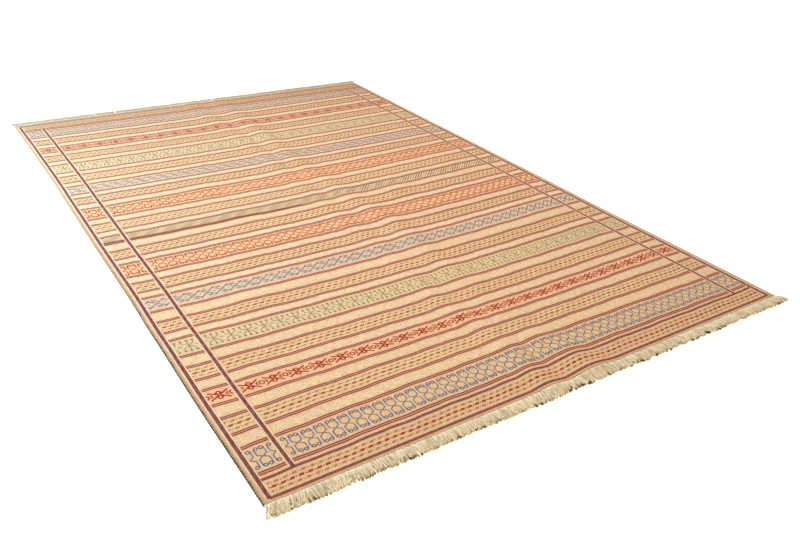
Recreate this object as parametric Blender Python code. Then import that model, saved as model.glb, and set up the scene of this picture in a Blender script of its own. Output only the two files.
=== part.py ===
"""A flat-woven kilim rug, 2 m by 3 m, lying open on a floor.

The cloth is one thin sheet with two soft lengthwise creases and a few low bumps. Each long side
has an overcast selvedge, and each end has a fringe: a narrow strip of cloth with its locks fused
to it. The locks lie level on the floor and fan out a little towards the corners.

X runs across the rug, Y along it from the near end to the far end, and Z up from the floor.
The origin is on the floor under the middle of the rug. All sizes are in metres.
"""

import math
import random

import bmesh
import bpy
import numpy as np

# Driving sizes
WIDTH = 2.00
LENGTH = 3.00
CLOTH_THICK = 0.003
OVERCAST_WIDE = 0.009
STRIP_DEEP = 0.010
FRINGE_LONG = 0.040
GAP = 0.0003

# Steps of the cloth's grid: fine over the creases, coarse where it lies flat
CREASE_FROM = -0.17
CREASE_TO = 0.21
FINE_STEP = 0.0145
COARSE_STEP = 0.065
ALONG_STEP = 0.10

# Where the side edges run, a little uneven: the row's place, then how far each edge stands out
# from its straight line (positive is towards +X)
EDGE_COLUMNS = ("y", "left", "right")
EDGE_TABLE = (
    (-1.50, 0.000, -0.003),
    (-1.10, -0.001, -0.004),
    (-0.70, 0.002, -0.005),
    (-0.40, 0.006, -0.001),
    (-0.05, 0.005, 0.003),
    (0.30, 0.006, 0.005),
    (0.70, 0.008, 0.004),
    (1.10, 0.005, 0.006),
    (1.50, -0.001, 0.006),
)

# The two creases: where each one's crest lies, how high it is and how far its flanks reach
CREASE_COLUMNS = ("y", "x", "height", "reach")
RIGHT_CREASE = (
    (-1.50, 0.085, 0.0130, 0.115),
    (-1.38, 0.075, 0.0100, 0.105),
    (-1.20, 0.050, 0.0040, 0.090),
    (-0.95, 0.065, 0.0025, 0.085),
    (-0.65, 0.080, 0.0055, 0.080),
    (-0.33, 0.105, 0.0085, 0.085),
    (-0.05, 0.080, 0.0055, 0.080),
    (0.40, 0.060, 0.0060, 0.075),
    (0.95, 0.075, 0.0085, 0.080),
    (1.25, 0.090, 0.0050, 0.080),
    (1.50, 0.095, 0.0045, 0.085),
)
LEFT_CREASE = (
    (-1.50, -0.090, 0.0090, 0.075),
    (-1.15, -0.070, 0.0060, 0.075),
    (-0.95, -0.100, 0.0045, 0.070),
    (-0.60, -0.070, 0.0035, 0.065),
    (-0.30, -0.060, 0.0040, 0.070),
    (0.20, -0.060, 0.0035, 0.070),
    (0.64, -0.045, 0.0050, 0.070),
    (1.00, -0.065, 0.0030, 0.070),
    (1.22, -0.070, 0.0060, 0.075),
    (1.50, -0.075, 0.0050, 0.080),
)

# Low bumps beside the creases
BUMP_COLUMNS = ("x", "y", "height", "reach_x", "reach_y")
BUMPS = (
    (0.315, -0.070, 0.0045, 0.110, 0.130),
    (-0.440, 0.360, 0.0040, 0.120, 0.150),
    (-0.430, -0.020, 0.0030, 0.130, 0.120),
    (-0.620, -0.620, 0.0035, 0.150, 0.140),
)

# The overcast selvedge's section, from the cloth outwards: offset and height above its underside
OVERCAST_SECTION_COLUMNS = ("offset", "height")
OVERCAST_SECTION = (
    (0.0, 0.0032),
    (0.0025, 0.0050),
    (0.0065, 0.0050),
    (0.0090, 0.0026),
)

# One lock of the fringe, from its root to its tip: share of its length, half width, height and
# how much of the cloth's lift is left there
LOCK_COLUMNS = ("share", "half_wide", "high", "lift_left")
LOCK_SECTIONS = (
    (0.30, 0.0052, 0.0055, 0.50),
    (0.72, 0.0048, 0.0050, 0.06),
    (1.00, 0.0026, 0.0026, 0.0),
)
LOCKS = 120
LOCK_ROOT_SHARE = 0.56
SLANT_VARIES = 0.07
LENGTH_VARIES = 0.14

# How far the locks lean towards +X for each metre outwards, at places across each end
SLANT_COLUMNS = ("x", "near", "far")
SLANT_TABLE = (
    (-1.00, -0.50, -0.10),
    (-0.30, -0.15, 0.10),
    (0.20, 0.10, 0.25),
    (1.00, 0.50, 0.40),
)
SEED_NEAR = 11
SEED_FAR = 23

# Colours (linear red, green, blue) and roughness of the plain construction materials
CLOTH_COLOUR = (0.78, 0.48, 0.25, 1.0)
OVERCAST_COLOUR = (0.72, 0.52, 0.32, 1.0)
FRINGE_COLOUR = (0.78, 0.70, 0.50, 1.0)
YARN_ROUGHNESS = 0.9


def column(table, names, name):
    """One named column of a table, as an array."""
    return np.array([row[names.index(name)] for row in table])


def between_rows(table, names, name, y):
    """A named column read at y: an S-curve, 3t^2 - 2t^3, from each row to the next."""
    rows = column(table, names, "y")
    values = column(table, names, name)
    first = int(np.clip(np.searchsorted(rows, y) - 1, 0, len(rows) - 2))
    t = (y - rows[first]) / (rows[first + 1] - rows[first])
    t = min(max(t, 0.0), 1.0)
    ease = t * t * (3.0 - 2.0 * t)
    return float(values[first] + (values[first + 1] - values[first]) * ease)


def dome(distance):
    """A smooth hump: (1 - d^2)^2 out to a distance of 1, and nothing past it."""
    return max(1.0 - distance * distance, 0.0) ** 2


def crease_lift(table, x, y):
    """How high one crease lifts the cloth at x, y."""
    middle = between_rows(table, CREASE_COLUMNS, "x", y)
    height = between_rows(table, CREASE_COLUMNS, "height", y)
    reach = between_rows(table, CREASE_COLUMNS, "reach", y)
    return height * dome((x - middle) / reach)


def bump_lift(x, y):
    """How high the low bumps lift the cloth at x, y."""
    lift = 0.0
    for row in BUMPS:
        bump = dict(zip(BUMP_COLUMNS, row))
        across = (x - bump["x"]) / bump["reach_x"]
        along = (y - bump["y"]) / bump["reach_y"]
        lift += bump["height"] * dome(math.hypot(across, along))
    return lift


def lift_at(x, y):
    """The height of the cloth's underside above the floor."""
    creases = max(crease_lift(RIGHT_CREASE, x, y), crease_lift(LEFT_CREASE, x, y))
    return creases + bump_lift(x, y)


def edge_at(side, y):
    """X of the rug's outer edge on one side, -1 for left and 1 for right."""
    name = "left" if side < 0 else "right"
    return side * WIDTH / 2 + between_rows(EDGE_TABLE, EDGE_COLUMNS, name, y)


def even_steps(start, stop, step):
    """Evenly spaced places from start up to, but not with, stop, about one step apart."""
    count = max(round((stop - start) / step), 1)
    return np.linspace(start, stop, count + 1)[:-1]


def slab(across, along, place):
    """A closed sheet. A flat grid is moved onto the underside and extruded up for the top.

    place(u, y) gives x, the underside's z and the top's z for a place across and a place along.
    """
    bm = bmesh.new()
    thickness = bm.verts.layers.float.new("thickness")
    cells_across = len(across) - 1
    cells_along = len(along) - 1
    bmesh.ops.create_grid(bm, x_segments=cells_across, y_segments=cells_along, size=1.0)
    for vert in bm.verts:
        u = across[round((vert.co.x + 1.0) / 2.0 * cells_across)]
        y = along[round((vert.co.y + 1.0) / 2.0 * cells_along)]
        x, low, high = place(u, y)
        vert.co = (x, y, low)
        vert[thickness] = high - low
    raised = bmesh.ops.extrude_face_region(bm, geom=list(bm.faces), use_keep_orig=True)
    for item in raised["geom"]:
        if isinstance(item, bmesh.types.BMVert):
            item.co.z += item[thickness]
    bmesh.ops.recalc_face_normals(bm, faces=bm.faces)
    return bm


def yarn_material(name, colour):
    """A plain matt yarn material for the construction model."""
    material = bpy.data.materials.new(name)
    material.use_nodes = True
    shader = material.node_tree.nodes["Principled BSDF"]
    shader.inputs["Base Color"].default_value = colour
    shader.inputs["Roughness"].default_value = YARN_ROUGHNESS
    shader.inputs["Metallic"].default_value = 0.0
    return material


def finish(bm, name, material, collection):
    """Turns a bmesh into a named object in the rug's collection."""
    mesh = bpy.data.meshes.new(name)
    bm.to_mesh(mesh)
    bm.free()
    mesh.materials.append(material)
    piece = bpy.data.objects.new(name, mesh)
    collection.objects.link(piece)
    return piece


def cloth_columns():
    """Places across the cloth, from 0 at its left edge to 1 at its right, fine over the creases."""
    half = WIDTH / 2
    places = np.concatenate(
        (
            even_steps(-half, CREASE_FROM, COARSE_STEP),
            even_steps(CREASE_FROM, CREASE_TO, FINE_STEP),
            even_steps(CREASE_TO, half, COARSE_STEP),
            [half],
        )
    )
    return (places + half) / WIDTH


def rows_between(start, stop):
    """Places along the rug, about one step apart, with both ends."""
    return np.append(even_steps(start, stop, ALONG_STEP), stop)


def make_cloth(material, collection):
    """The woven sheet, between the two overcast selvedges and the two parted end strips."""
    end = LENGTH / 2 - STRIP_DEEP - GAP
    inset = OVERCAST_WIDE + GAP

    def place(u, y):
        left = edge_at(-1, y) + inset
        right = edge_at(1, y) - inset
        x = left + (right - left) * u
        low = lift_at(x, y)
        return x, low, low + CLOTH_THICK

    sheet = slab(cloth_columns(), rows_between(-end, end), place)
    return finish(sheet, "kilim_cloth", material, collection)


def make_overcast(name, side, material, collection):
    """One overcast selvedge: a low rounded band that follows the rug's side edge."""
    offsets = column(OVERCAST_SECTION, OVERCAST_SECTION_COLUMNS, "offset")
    heights = column(OVERCAST_SECTION, OVERCAST_SECTION_COLUMNS, "height")

    def place(offset, y):
        x = edge_at(side, y) - side * (OVERCAST_WIDE - offset)
        return x, 0.0, float(np.interp(offset, offsets, heights))

    end = LENGTH / 2
    band = slab(offsets, rows_between(-end, end), place)
    return finish(band, name, material, collection)


def lock_root_edges(left, right):
    """Places across a fringe strip where each lock's root begins and ends, with both strip ends."""
    pitch = (right - left) / LOCKS
    starts = left + (np.arange(LOCKS) + (1.0 - LOCK_ROOT_SHARE) / 2.0) * pitch
    edges = np.stack((starts, starts + LOCK_ROOT_SHARE * pitch), axis=1).ravel()
    return np.concatenate(([left], edges, [right]))


def grow_lock(bm, root, end_y, direction, slant, length):
    """Extrudes one root face three times into a four-sided lock that settles on the floor."""
    middle_x = root.calc_center_median().x
    root_low = min(vert.co.z for vert in root.verts)
    for row in LOCK_SECTIONS:
        section = dict(zip(LOCK_COLUMNS, row))
        grown = bmesh.ops.extrude_discrete_faces(bm, faces=[root])
        root = grown["faces"][0]
        centre = root.calc_center_median()
        out = section["share"] * length
        low = root_low * section["lift_left"]
        corners = [(vert, vert.co.x > centre.x, vert.co.z > centre.z) for vert in root.verts]
        for vert, is_right, is_top in corners:
            side = 1.0 if is_right else -1.0
            vert.co.x = middle_x + slant * out + side * section["half_wide"]
            vert.co.y = end_y + direction * out
            vert.co.z = low + (section["high"] if is_top else 0.0)


def make_fringe(name, direction, seed, material, collection):
    """One end's fringe: a strip of cloth along the end, with locks grown out of its outer face."""
    slant_places = column(SLANT_TABLE, SLANT_COLUMNS, "x")
    slants = column(SLANT_TABLE, SLANT_COLUMNS, "near" if direction < 0 else "far")
    outer = direction * LENGTH / 2
    inner = direction * (LENGTH / 2 - STRIP_DEEP)
    inset = OVERCAST_WIDE + GAP
    left = edge_at(-1, outer) + inset
    right = edge_at(1, outer) - inset

    def place(x, y):
        low = lift_at(x, outer)
        return x, low, low + CLOTH_THICK

    bm = slab(lock_root_edges(left, right), sorted((inner, outer)), place)
    outer_faces = [f for f in bm.faces if all(abs(v.co.y - outer) < GAP / 2 for v in f.verts)]
    outer_faces.sort(key=lambda face: face.calc_center_median().x)
    chance = random.Random(seed)
    for face in outer_faces[1::2]:
        slant = float(np.interp(face.calc_center_median().x, slant_places, slants))
        lean = slant + chance.uniform(-SLANT_VARIES, SLANT_VARIES)
        length = FRINGE_LONG * (1.0 - chance.uniform(0.0, LENGTH_VARIES))
        grow_lock(bm, face, outer, direction, lean, length)
    return finish(bm, name, material, collection)


def clear_scene():
    """Removes the objects that are in the scene."""
    for thing in list(bpy.data.objects):
        bpy.data.objects.remove(thing, do_unlink=True)


def main():
    clear_scene()
    collection = bpy.data.collections.new("kilim_rug")
    bpy.context.scene.collection.children.link(collection)
    make_cloth(yarn_material("kilim_cloth", CLOTH_COLOUR), collection)
    for name, side in (("overcast_left", -1), ("overcast_right", 1)):
        make_overcast(name, side, yarn_material(name, OVERCAST_COLOUR), collection)
    for name, direction, seed in (("fringe_near", -1, SEED_NEAR), ("fringe_far", 1, SEED_FAR)):
        make_fringe(name, direction, seed, yarn_material(name, FRINGE_COLOUR), collection)


main()
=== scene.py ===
"""The looks of a flat-woven kilim rug, 2 m by 3 m, lying open on a pale floor.

The cloth is one thin woven sheet, and its pattern is raised on it in yarn, stitch by stitch: maroon
braids across the rug, bands of small drawn motifs between them, rows of dashes, cream zigzags and
two-coloured twisted guard lines. Overcast wraps bind the long sides and twisted warp ends make the
fringes. Every place on the pattern is given on the straight, flat weave as across (X) and along (Y),
and lay() moves it to where the rug lies, with its creases, bumps, wavy sides and bowed stripes.
All sizes are in metres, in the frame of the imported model.
"""

import math

import bpy
import numpy as np
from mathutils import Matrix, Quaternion, Vector


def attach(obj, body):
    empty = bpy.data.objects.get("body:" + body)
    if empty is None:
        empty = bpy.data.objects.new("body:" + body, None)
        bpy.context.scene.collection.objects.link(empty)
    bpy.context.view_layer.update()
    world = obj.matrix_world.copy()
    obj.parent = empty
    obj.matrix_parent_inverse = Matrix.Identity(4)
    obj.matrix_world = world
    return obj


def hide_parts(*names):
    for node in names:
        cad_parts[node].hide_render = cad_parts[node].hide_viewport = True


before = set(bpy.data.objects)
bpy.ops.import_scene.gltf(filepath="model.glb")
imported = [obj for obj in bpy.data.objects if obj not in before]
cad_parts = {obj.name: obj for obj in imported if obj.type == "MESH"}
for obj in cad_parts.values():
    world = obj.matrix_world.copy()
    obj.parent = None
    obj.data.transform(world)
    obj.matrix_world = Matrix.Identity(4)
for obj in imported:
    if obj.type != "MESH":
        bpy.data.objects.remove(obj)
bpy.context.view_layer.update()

# Driving sizes, as in the construction model
WIDTH = 2.00
LENGTH = 3.00
CLOTH_THICK = 0.003
OVERCAST_WIDE = 0.009
GAP = 0.0003

# Where the side edges run, a little uneven, as in the construction model
EDGE_COLUMNS = ("y", "left", "right")
EDGE_TABLE = (
    (-1.50, 0.000, -0.003),
    (-1.10, -0.001, -0.004),
    (-0.70, 0.002, -0.005),
    (-0.40, 0.006, -0.001),
    (-0.05, 0.005, 0.003),
    (0.30, 0.006, 0.005),
    (0.70, 0.008, 0.004),
    (1.10, 0.005, 0.006),
    (1.50, -0.001, 0.006),
)

# The two lengthwise creases, as in the construction model
CREASE_COLUMNS = ("y", "x", "height", "reach")
RIGHT_CREASE = (
    (-1.50, 0.085, 0.0130, 0.115),
    (-1.38, 0.075, 0.0100, 0.105),
    (-1.20, 0.050, 0.0040, 0.090),
    (-0.95, 0.065, 0.0025, 0.085),
    (-0.65, 0.080, 0.0055, 0.080),
    (-0.33, 0.105, 0.0085, 0.085),
    (-0.05, 0.080, 0.0055, 0.080),
    (0.40, 0.060, 0.0060, 0.075),
    (0.95, 0.075, 0.0085, 0.080),
    (1.25, 0.090, 0.0050, 0.080),
    (1.50, 0.095, 0.0045, 0.085),
)
LEFT_CREASE = (
    (-1.50, -0.090, 0.0090, 0.075),
    (-1.15, -0.070, 0.0060, 0.075),
    (-0.95, -0.100, 0.0045, 0.070),
    (-0.60, -0.070, 0.0035, 0.065),
    (-0.30, -0.060, 0.0040, 0.070),
    (0.20, -0.060, 0.0035, 0.070),
    (0.64, -0.045, 0.0050, 0.070),
    (1.00, -0.065, 0.0030, 0.070),
    (1.22, -0.070, 0.0060, 0.075),
    (1.50, -0.075, 0.0050, 0.080),
)

# Low bumps beside the creases, as in the construction model
BUMP_COLUMNS = ("x", "y", "height", "reach_x", "reach_y")
BUMPS = (
    (0.315, -0.070, 0.0045, 0.110, 0.130),
    (-0.440, 0.360, 0.0040, 0.120, 0.150),
    (-0.430, -0.020, 0.0030, 0.130, 0.120),
    (-0.620, -0.620, 0.0035, 0.150, 0.140),
)

# How the stripes run out of true: each bows towards the near end by "bow" a little left of the
# middle, and its right end stands "skew" further along than its left end
BOW_COLUMNS = ("y", "bow", "skew")
BOW_TABLE = (
    (-1.50, 0.000, 0.000),
    (-1.40, -0.006, 0.002),
    (-1.28, -0.009, 0.005),
    (-1.23, -0.003, 0.007),
    (-1.15, 0.003, 0.005),
    (-1.09, 0.011, -0.001),
    (-0.96, 0.019, -0.004),
    (-0.83, 0.022, -0.006),
    (-0.68, 0.027, 0.000),
    (-0.58, 0.027, 0.004),
    (-0.46, 0.029, 0.009),
    (-0.40, 0.027, 0.010),
    (-0.31, 0.020, 0.011),
    (-0.17, 0.021, 0.020),
    (-0.07, 0.013, 0.025),
    (0.00, 0.023, 0.012),
    (0.07, 0.018, 0.022),
    (0.20, 0.026, 0.017),
    (0.34, 0.022, 0.008),
    (0.40, 0.021, 0.003),
    (0.48, 0.014, -0.001),
    (0.60, 0.020, -0.003),
    (0.72, 0.020, -0.006),
    (0.88, 0.014, 0.000),
    (0.94, 0.018, -0.003),
    (1.03, 0.024, -0.008),
    (1.13, 0.021, -0.004),
    (1.25, 0.016, 0.001),
    (1.36, 0.009, 0.004),
    (1.50, 0.000, 0.000),
)
BOW_MIDDLE = -0.10
BOW_REACH = 0.90

# Hand-laid wefts wander a little along each stripe: two slow waves, each given as its size and its
# lengths across and along the rug, which die out at the ends
WANDER_WAVES = (
    (0.0013, 0.230, 0.70),
    (0.0008, 0.097, -0.27),
)
WANDER_END = 1.48
WANDER_FADE = 0.05

# The stripes, by where each maroon line lies at the left side. In each group a band of motifs comes
# after the first line, and cream, dashes and cream after the others. The last line begins the border.
STRIPE_GROUPS = (
    ("curls", -1.396, -1.290, -1.230, -1.156),
    ("crosses", -1.094, -1.015, -0.960, -0.889),
    ("trees", -0.829, -0.730, -0.682, -0.614),
    ("lattice", -0.548, -0.451, -0.406, -0.340),
    ("orange_curls", -0.288, -0.185, -0.140, -0.075),
    ("hatching", -0.001, 0.057, 0.105, 0.180),
    ("orange_curls", 0.234, 0.344, 0.399, 0.464),
    ("lattice", 0.511, 0.603, 0.652, 0.727),
    ("trees", 0.774, 0.878, 0.933, 1.006),
    ("crosses", 1.059, 1.126, 1.176, 1.241),
    ("curls", 1.286, 1.399),
)
GROUP_BANDS = ("cream", "dashes", "cream")
LINES = np.array([line for group in STRIPE_GROUPS for line in group[1:]])
BANDS = [band for group in STRIPE_GROUPS for band in (group[0], *GROUP_BANDS)]
BANDS = [*BANDS[: len(LINES) - 1], "border"]

# The middle line, and how many times wider than the others it is at places across the rug
MIDDLE_LINE = -0.001
WIDER_COLUMNS = ("across", "wider")
WIDER_TABLE = (
    (-1.00, 1.80),
    (-0.50, 1.65),
    (-0.10, 1.25),
    (0.30, 1.10),
    (1.00, 1.10),
)

# Guard lines: two along each side of the rug, and the lines across both ends that close them
OUTER_GUARD = 0.976
INNER_GUARD = 0.880
END_LINE = 1.482
BORDER_LINE = 1.417
GUARDS = ((OUTER_GUARD, END_LINE), (INNER_GUARD, BORDER_LINE))
GUARD_HALF = 0.0055
END_GUARD_HALF = 0.0048

# The three zones between the guards, which the stripes cross
ZONE_CLEARANCE = 0.0045
INNER_REACH = INNER_GUARD - GUARD_HALF - ZONE_CLEARANCE
BORDER_FROM = INNER_GUARD + GUARD_HALF + ZONE_CLEARANCE
BORDER_TO = OUTER_GUARD - GUARD_HALF - ZONE_CLEARANCE
ZONES = ((-BORDER_TO, -BORDER_FROM), (-INNER_REACH, INNER_REACH), (BORDER_FROM, BORDER_TO))
FULL_ZONE = ((-BORDER_TO, BORDER_TO),)

# Stitches. Floats overlap along a stroke, and those of a steep stroke are a little wider than it.
# Two floats at the same place are one, and one whose middle is nearer to a zone's end than a share
# of its length is left out.
MM = 0.001
STITCH_HIGH = 0.0010
STITCH_LOW = 0.7 * STITCH_HIGH
STITCH_SUNK = 0.0003
FLOAT_LONG = 0.0034
FLOAT_STEEP = math.radians(58.0)
FLOAT_OVERLAP = 1.10
STEEP_WIDER = 1.25
SAME_PLACE = 0.2 * MM
CUT_SHARE = 0.45

# Maroon braids, with a mauve core between their ties. Every second float is larger by a share, and
# where the middle line is more than FILLED_FROM times as wide, two more rows fill it.
BRAID_PITCH = 0.00417
BRAID_ROW = 0.0042
BRAID_LONG = 0.0047
BRAID_DEEP = 0.0030
BRAID_TURN = math.radians(48.0)
BRAID_HALF = 0.0064
MAUVE_HALF = 0.0024
TIE_FADE = (0.15, 0.45)
SECOND_LONGER = 0.08
SECOND_DEEPER = 0.10
FILLED_FROM = 1.3

# Guards: rows of stitches in red and slate. The yarns change once a pitch, at a slant from row to
# row, red for its share of it, and seeded short runs show the other yarn.
GUARD_PITCH = 0.0375
GUARD_STITCH = 0.00417
GUARD_ROW = 0.0035
GUARD_DEEP = GUARD_ROW * 0.98
GUARD_OVERLAP = 1.02
GUARD_SLANT = 2.3
END_GUARD_PITCH = 0.027
END_GUARD_STITCH = END_GUARD_PITCH / 8
END_GUARD_ROWS = (-0.0023, 0.0023)
RED_LEFT = 0.52
RED_RIGHT = 0.90
RED_ENDS = 0.5
SWAPPED_SHARE = 0.18
SWAPPED_RUN = 2

# Pale outlines beside the guards
OUTLINE_LONG = 0.0122
OUTLINE_DEEP = 0.0024
OUTLINE_OFF = 0.0016
OUTLINE_SHORT = 0.0080

# The motifs, drawn over one repeat, in millimetres from its middle. A stroke is a run of
# floats, given as from x, from y, to x, to y and thickness. A ring is an ellipse of short strokes,
# given as x, y, half its width, half its height and thickness.
RING_STROKES = 8
CURL_STROKES = (
    (4.6, 9.0, 4.6, 32.5, 4.2),
    (4.6, 8.6, 14.8, 2.1, 4.2),
    (13.6, 0.0, 18.5, 0.0, 6.4),
)
CURL_RINGS = ((11.3, 31.2, 5.2, 5.6, 4.8),)
CURL_CORES = (
    (0.0, 9.5, 0.0, 31.0, 4.8),
    (9.9, 31.2, 12.7, 31.2, 4.6),
)
CROSS_STROKES = ((2.4, 1.6, 29.0, 19.0, 7.4),)
CROSS_RINGS = ((0.0, 10.4, 6.8, 7.4, 6.6),)
LOZENGE_STROKES = (
    (8.2, 0.8, 1.2, 9.4, 6.2),
    (18.4, 0.8, 10.8, 6.2, 6.2),
)
TREE_STROKES = (
    (0.0, 1.5, 0.0, 25.0, 3.2),
    (-4.4, 28.2, 4.4, 28.2, 7.0),
    (-2.6, 0.0, 2.6, 0.0, 5.0),
    (18.4, 18.0, 18.4, 25.0, 3.2),
    (14.0, 28.2, 22.8, 28.2, 7.0),
    (18.0, 17.6, 15.4, 12.0, 3.0),
    (14.8, 11.6, 3.4, 3.4, 3.0),
    (21.2, 0.0, 27.2, 0.0, 5.0),
)
LATTICE_STROKES = (
    (-30.5, -26.0, 30.5, 26.0, 5.4),
    (-28.0, 24.0, -3.0, 2.6, 5.0),
    (3.0, -2.6, 28.0, -24.0, 5.0),
    (-13.0, 26.0, 4.5, 11.0, 3.8),
    (-4.5, -11.0, 13.0, -26.0, 3.8),
    (-1.5, -26.0, 13.5, -13.4, 3.8),
    (36.5, 13.4, 51.5, 26.0, 3.8),
    (21.5, 0.0, 28.5, 0.0, 5.6),
)
LATTICE_PALE_STROKES = (
    (-18.5, -21.5, -5.0, -10.0, 2.2),
    (11.0, 3.5, 22.0, 13.0, 2.2),
    (5.0, 10.0, 18.5, 21.5, 2.2),
    (-22.0, -13.0, -11.0, -3.5, 2.2),
)
LATTICE_PALE_RINGS = ((25.0, 0.0, 7.4, 6.6, 2.3),)
HATCH_STROKES = (
    (-34.6, -17.0, 5.0, 17.0, 5.2),
    (-19.8, -17.0, 19.8, 17.0, 5.6),
    (-5.0, -17.0, 34.6, 17.0, 5.2),
)
HATCH_PALE_STROKES = (
    (9.8, -17.0, 49.4, 17.0, 4.6),
    (24.7, -17.0, 64.3, 17.0, 4.6),
)
RED_DASH_STROKES = (
    (-8.8, -1.9, 6.4, -1.9, 4.7),
    (-5.2, 1.9, 8.8, 1.9, 4.7),
    (10.8, 0.0, 14.6, 0.0, 5.2),
)
GREEN_DASH_STROKES = (
    (-8.0, -1.6, 5.4, -1.6, 3.7),
    (-4.4, 1.6, 8.0, 1.6, 3.7),
    (10.6, 0.0, 14.4, 0.0, 4.2),
)

# How often each motif comes, and how far its middle stands from the middle of a side border and
# from the middle of the field
MOTIFS = {
    "curls": (0.0370, 0.0185, 0.0035),
    "crosses": (0.0742, -0.0010, -0.0238),
    "trees": (0.0552, 0.0080, -0.0132),
    "lattice": (0.0500, -0.0010, -0.0090),
    "hatching": (0.0741, 0.0, 0.0355),
    "red_dashes": (0.0250, 0.0, 0.0),
    "green_dashes": (0.0250, 0.0125, 0.0125),
}

# The hatching stands a little further along than its band's middle. Dashes have longer floats, and
# the green rows stand a share of the band's width from its middle.
HATCH_FURTHER = 0.001
DASH_FLOAT = 0.0042
GREEN_ROW = 0.225

# Cream zigzags: rows of long pale floats that climb and fall, clear of the lines beside them
ZIGZAG_PITCH = 0.0375
ZIGZAG_RISE = 0.0170
ZIGZAG_ROWS = (-0.0100, 0.0, 0.0100)
ZIGZAG_FLOATS = 2
ZIGZAG_SHORTER = 0.96
ZIGZAG_DEEP = 0.0038
ZIGZAG_CLEAR = 0.020

# The cloth's grid, finer over the creases, its ribs and wefts, and how softly its colours meet
CREASE_ZONE = (-0.18, 0.22)
FINE_STEP = 0.012
COARSE_STEP = 0.030
ROW_STEP = 0.014
RIB_PITCH = 0.0031
WEFT_PITCH = 0.0016
EDGE_FADE = 0.009
SOFT_EDGE = 0.0003
BESIDE_LINE = 0.0001

# Dark stitches along both ends: painted shadow where the gaps between the strands' roots lie in shade
ROOT_SHADOW_PITCH = 0.0055
ROOT_SHADOW_LONG = 0.0019
ROOT_SHADOW_DEEP = 0.0034
ROOT_SHADOW_HIGH = 0.0012
ROOT_SHADOW_IN = 0.0040
ROOT_SHADOW_CLEAR = 0.002

# Fringe: how thick a strand is along its length, the layers of strands from the floor up, and how
# far the strands lean at places across the rug
FRINGE_LONG = 0.0450
STRAND_SIDES = 5
STRAND_TURNS = 1.5
STRAND_COLUMNS = ("along", "radius")
STRAND_TABLE = (
    (0.00, 0.92),
    (0.14, 1.00),
    (0.34, 1.00),
    (0.56, 1.00),
    (0.76, 0.98),
    (0.90, 0.96),
    (0.97, 0.84),
    (1.00, 0.62),
)
# The last two columns give each layer's range of painted shadow towards the strands' tips
LAYER_COLUMNS = ("pitch", "thick", "raised", "longer", "shadow_from", "shadow_to")
FRINGE_LAYERS = (
    (0.0105, 0.0074, 0.0000, 1.00, 0.70, 1.40),
    (0.0046, 0.0074, 0.0008, 0.98, -0.30, 0.65),
    (0.0082, 0.0062, 0.0046, 0.94, -0.60, 0.40),
)
FAR_RAISE = 0.9
FAR_LONGER = 1.15
SLANT_COLUMNS = ("x", "near", "far")
SLANT_TABLE = (
    (-1.00, -0.06, -0.20),
    (-0.93, -0.20, -0.10),
    (-0.86, 0.05, 0.0),
    (-0.78, 0.12, 0.0),
    (-0.30, -0.15, 0.10),
    (0.20, 0.10, 0.25),
    (0.90, 0.35, 0.35),
    (1.00, 0.62, 0.60),
)

# How a fringe strays, as spreads and ranges of seeded chances, by lock and then by strand
MOST_LOCKS = 90
LOCK_EDGES = 80
LOCK_WIDE = (0.020, 0.052)
LOCK_LEAN = 0.07
LOCK_BEND = 0.16
LOCK_LONG = (0.92, 1.05)
STRAND_LEAN = 0.06
STRAND_LONG = (0.92, 1.03)
STRAND_SWAY = 0.0030
SWAY_WAVES = 1.6
STRAND_THICK = (0.88, 1.10)
STRAND_ARCH = (0.7, 1.3)
ARCH_RUN = 1.05
TIP_RAISED = (0.0, 0.0030)
DRAWN_IN = 0.20
ROOT_IN = 0.0018
ROOT_SHARE = 0.62
FLOOR_CLEAR = 0.0002

# Painted shadow on the near fringe, towards the strands' tips: how much each lock takes, and a faint
# painted shade over the whole strands, more towards their roots
SHADOW_LEAST = 0.4
SHADOW_MORE = 1.7
STRAND_ROOT_SHADE = 0.42
ROOT_SHADE_FADE = 1.2

# Overcast wraps along the sides. The section goes from the cloth outwards and round under the edge,
# and its columns are offset, height and bulge.
WRAP_PITCH = 0.0105
WRAP_ROWS = 5
WRAP_BULGE = 0.0013
WRAP_TALLER = 0.22
WRAP_MEAN = 0.6
WRAP_SLANT = 0.5
WRAP_UNEVEN = 0.35
UNEVEN_PLACES = 240
WRAP_SECTION = (
    (-0.0010, 0.0030, 0.0),
    (0.0025, 0.0052, 0.7),
    (0.0062, 0.0054, 1.0),
    (0.0086, 0.0034, 1.0),
    (0.0084, 0.0012, 0.8),
    (0.0050, 0.0001, 0.0),
    (-0.0010, 0.0001, 0.0),
)

# Painted shade on the wraps: darkest outwards and under the edge, in the grooves, and less towards the far
# end
SHADE_FROM = 0.0005
SHADE_OVER = 0.0060
UPPER_SHADE = 0.70
UNDER_HEIGHT = 0.0050
OUTER_PAINTED_SHADE = 0.95
GROOVE_PAINTED_SHADE = 0.60
FAR_REACH = 0.6
FAR_LIGHTER = 0.6

# Ground colours as they look in soft light, in sRGB from 0 to 255
GROUND_EDGE = (246, 190, 146)
MAUVE = (222, 168, 146)
BRAID_UNDER = (128, 62, 48)
GUARD_UNDER = (164, 108, 94)
BAND_GROUNDS = {
    "curls": (235, 199, 152),
    "cream": (237, 201, 152),
    "dashes": (240, 203, 155),
    "crosses": (246, 194, 150),
    "trees": (230, 204, 158),
    "lattice": (228, 198, 164),
    "orange_curls": (249, 200, 150),
    "hatching": (238, 210, 168),
    "border": (236, 192, 148),
}

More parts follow.
